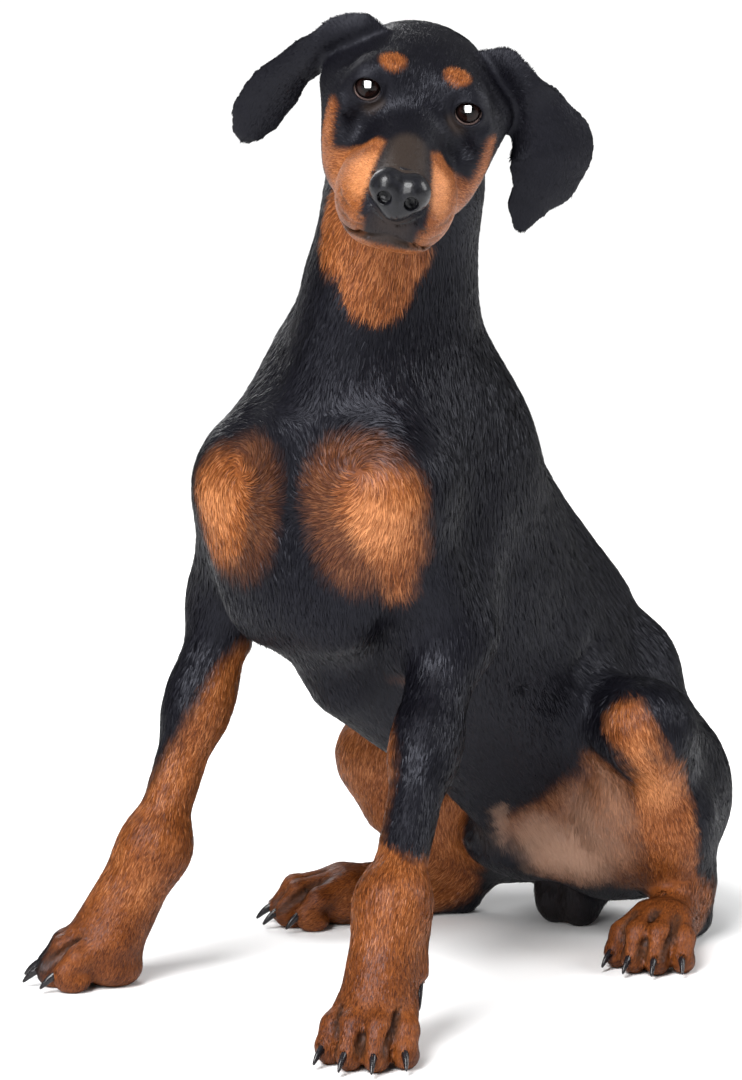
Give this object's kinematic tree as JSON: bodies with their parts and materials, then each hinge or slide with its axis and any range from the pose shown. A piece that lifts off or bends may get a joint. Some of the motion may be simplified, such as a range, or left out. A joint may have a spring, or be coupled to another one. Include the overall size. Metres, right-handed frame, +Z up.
{
  "type": "sitting doberman pinscher model",
  "caption": "Life-size still model of a young doberman pinscher with hanging natural ears, sitting with its forelegs braced apart, head turned and tilted toward the viewer.",
  "frame": {"origin": "centre of the bounding box in plan, on the floor the dog sits on", "axes": "+Z up, the dog's chest faces -Y, its left side is +X"},
  "size_m": [0.4114, 0.6492, 0.7163],
  "materials": {
    "coat_black": "short glossy fur, black",
    "coat_tan": "short fur, rust tan",
    "leather_nose": "moist pebbled leather",
    "eye_brown": "wet polished",
    "horn_claw": "polished horn"
  },
  "bodies": {
    "root": {"abdomen": "coat_black", "chest": "coat_black", "ear_left": "coat_black", "ear_right": "coat_black", "eye_left": "eye_brown", "eye_right": "eye_brown", "foreleg_left": "coat_black", "foreleg_right": "coat_black", "forepaw_left": "coat_tan", "forepaw_left_claw_1": "horn_claw", "forepaw_left_claw_2": "horn_claw", "forepaw_left_claw_3": "horn_claw", "forepaw_left_claw_4": "horn_claw", "forepaw_left_dewclaw": "horn_claw", "forepaw_right": "coat_tan", "forepaw_right_claw_1": "horn_claw", "forepaw_right_claw_2": "horn_claw", "forepaw_right_claw_3": "horn_claw", "forepaw_right_claw_4": "horn_claw", "forepaw_right_dewclaw": "horn_claw", "head": "coat_black", "hindfoot_left": "coat_tan", "hindfoot_left_claw_1": "horn_claw", "hindfoot_left_claw_2": "horn_claw", "hindfoot_left_claw_3": "horn_claw", "hindfoot_left_claw_4": "horn_claw", "hindfoot_right": "coat_tan", "hindfoot_right_claw_1": "horn_claw", "hindfoot_right_claw_2": "horn_claw", "hindfoot_right_claw_3": "horn_claw", "hindfoot_right_claw_4": "horn_claw", "neck": "coat_black", "nose": "leather_nose", "shank_left": "coat_tan", "shank_right": "coat_tan", "tail": "coat_black", "thigh_left": "coat_black", "thigh_right": "coat_black"}
  },
  "joints": []
}
